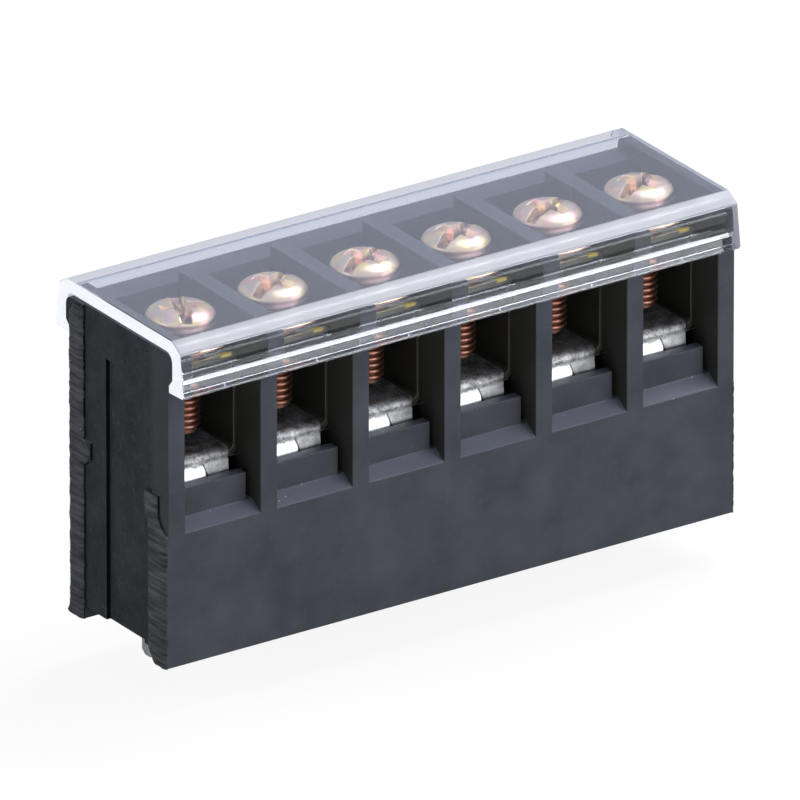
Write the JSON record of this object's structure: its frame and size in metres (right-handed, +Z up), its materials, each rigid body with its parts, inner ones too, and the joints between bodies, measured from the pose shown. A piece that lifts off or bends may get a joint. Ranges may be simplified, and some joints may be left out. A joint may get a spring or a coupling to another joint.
{
  "type": "pcb terminal block",
  "caption": "Black board-mounted screw terminal block with barriers, box clamps, backed-out pan head screws, solder pins and a clear clip-on profile cover.",
  "frame": {"origin": "on the board face, centred along the row and midway between the front and back faces of the barriers", "axes": "+X along the row, +Z up from the board, the wires enter from -Y"},
  "size_m": [0.0512, 0.0172, 0.0306],
  "materials": {
    "housing_plastic": "satin moulded",
    "clear_plastic": "clear extruded",
    "tinned_metal": "tin plated",
    "passivated_steel": "yellow passivated zinc",
    "passivated_screw": "yellow passivated zinc"
  },
  "bodies": {
    "housing": {"body": "housing_plastic", "terminal_1": "tinned_metal", "terminal_2": "tinned_metal", "terminal_3": "tinned_metal", "terminal_4": "tinned_metal", "terminal_5": "tinned_metal", "terminal_6": "tinned_metal", "clamp_1": "passivated_steel", "clamp_2": "passivated_steel", "clamp_3": "passivated_steel", "clamp_4": "passivated_steel", "clamp_5": "passivated_steel", "clamp_6": "passivated_steel"},
    "cover": {"cover": "clear_plastic"},
    "screw_1": {"screw_1": "passivated_screw"},
    "screw_2": {"screw_2": "passivated_screw"},
    "screw_3": {"screw_3": "passivated_screw"},
    "screw_4": {"screw_4": "passivated_screw"},
    "screw_5": {"screw_5": "passivated_screw"},
    "screw_6": {"screw_6": "passivated_screw"}
  },
  "joints": [
    {"name": "cover_slide", "type": "slide", "parent": "housing", "child": "cover", "axis": [1, 0, 0], "range_m": [0, 0.045]},
    {"name": "screw_1_drive", "type": "slide", "parent": "housing", "child": "screw_1", "axis": [0, 0, -1], "range_m": [0, 0.0009]},
    {"name": "screw_2_drive", "type": "slide", "parent": "housing", "child": "screw_2", "axis": [0, 0, -1], "range_m": [0, 0.0009]},
    {"name": "screw_3_drive", "type": "slide", "parent": "housing", "child": "screw_3", "axis": [0, 0, -1], "range_m": [0, 0.0009]},
    {"name": "screw_4_drive", "type": "slide", "parent": "housing", "child": "screw_4", "axis": [0, 0, -1], "range_m": [0, 0.0009]},
    {"name": "screw_5_drive", "type": "slide", "parent": "housing", "child": "screw_5", "axis": [0, 0, -1], "range_m": [0, 0.0009]},
    {"name": "screw_6_drive", "type": "slide", "parent": "housing", "child": "screw_6", "axis": [0, 0, -1], "range_m": [0, 0.0009]}
  ]
}
